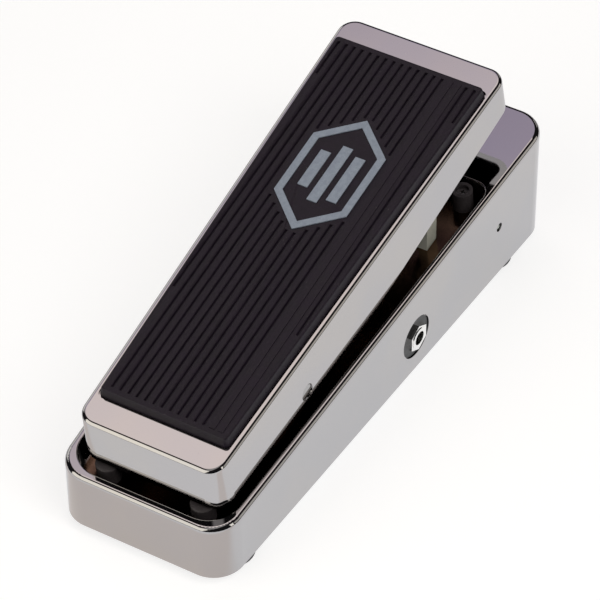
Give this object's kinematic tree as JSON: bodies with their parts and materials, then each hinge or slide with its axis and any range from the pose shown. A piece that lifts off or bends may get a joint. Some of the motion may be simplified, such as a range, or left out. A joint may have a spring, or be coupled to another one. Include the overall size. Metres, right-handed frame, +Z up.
{
  "type": "rocker effects pedal",
  "caption": "Rocker pedal: a wedge-shaped plated cast base with a ribbed treadle that rocks on a cross shaft and drives a rack and pinion control.",
  "frame": {"origin": "middle of the base on the surface that the pedal stands on", "axes": "+X to the player's right, towards the input jack; +Y towards the toe end; +Z up"},
  "size_m": [0.1004, 0.254, 0.0981],
  "materials": {
    "smoked_chrome": "polished smoked chrome plate over a die casting",
    "plate_steel": "zinc plated sheet steel",
    "black_rubber": "moulded black rubber",
    "screw_steel": "blackened and zinc plated screws",
    "black_nylon": "black moulded nylon",
    "white_nylon": "natural white nylon",
    "nickel": "bright nickel plate",
    "switch_body": "blue phenolic switch body",
    "light_lens": "clear domed lens",
    "brass_shaft": "turned brass",
    "foam": "dark foam pad",
    "battery_wrap": "plain dark wrap",
    "board": "brown board with a dull sheen",
    "inductor_can": "red potted coil",
    "capacitor_red": "dipped film capacitors",
    "capacitor_blue": "sleeved can capacitors",
    "resistor_tan": "lacquered resistors",
    "pad_rubber": "ribbed black rubber",
    "emblem_blue": "silver-blue inlay",
    "shaft_steel": "ground steel",
    "lead_black": "insulated hook-up wire"
  },
  "bodies": {
    "root": {"base_housing": "smoked_chrome", "bottom_plate": "plate_steel", "rubber_feet": "black_rubber", "foot_screws": "screw_steel", "toe_bumpers": "black_rubber", "bumper_screws": "screw_steel", "heel_pads": "black_rubber", "pivot_bushings": "black_nylon", "foot_switch": "switch_body", "switch_nuts": "nickel", "input_jack": "nickel", "output_jack": "nickel", "jack_washers": "black_nylon", "jack_nuts": "nickel", "power_jack": "black_nylon", "power_nut": "nickel", "light_holders": "black_nylon", "side_lights": "light_lens", "pot_body": "nickel", "pot_nut": "nickel", "rack_guide": "black_nylon", "guide_screws": "screw_steel", "battery_foam_pad": "foam", "battery": "battery_wrap", "battery_snap": "black_nylon", "circuit_board": "board", "board_screws": "screw_steel", "inductor": "inductor_can", "film_capacitors": "capacitor_red", "can_capacitors": "capacitor_blue", "transistors": "black_nylon", "resistors": "resistor_tan", "battery_leads": "lead_black", "jack_leads": "lead_black", "power_leads": "lead_black", "pot_leads": "lead_black", "switch_leads": "lead_black"},
    "treadle": {"treadle": "smoked_chrome", "tread_pad": "pad_rubber", "emblem": "emblem_blue", "pivot_shaft": "shaft_steel", "strike_pad": "black_rubber", "rack_bracket": "plate_steel", "bracket_screws": "screw_steel", "rack_pin": "shaft_steel", "pin_clip": "shaft_steel"},
    "rack": {"rack_bar": "white_nylon"},
    "pinion": {"pot_shaft": "brass_shaft", "pinion_gear": "black_nylon"},
    "plunger": {"switch_plunger": "nickel"}
  },
  "joints": [
    {"name": "treadle_rock", "type": "hinge", "parent": "root", "child": "treadle", "pos_m": [0, -0.0543, 0.0485], "axis": [1, 0, 0], "range_deg": [-6.5, 1]},
    {"name": "rack_slide", "type": "slide", "parent": "root", "child": "rack", "axis": [0, 0, 1], "range_m": [-0.0121, 0.0019]},
    {"name": "pinion_spin", "type": "hinge", "parent": "root", "child": "pinion", "pos_m": [0.0213, 0.0514, 0.028], "axis": [0, 1, 0], "range_deg": [-15, 96.5]},
    {"name": "switch_press", "type": "slide", "parent": "root", "child": "plunger", "axis": [0, 0.1111, -0.9938], "range_m": [0, 0.003], "stiffness_N_per_m": 1500, "springref_m": -0.002}
  ],
  "couplings": [
    {"joint": "rack_slide", "follows": "treadle_rock", "m_per_rad": 0.10617},
    {"joint": "pinion_spin", "follows": "treadle_rock", "ratio": -14.746}
  ]
}
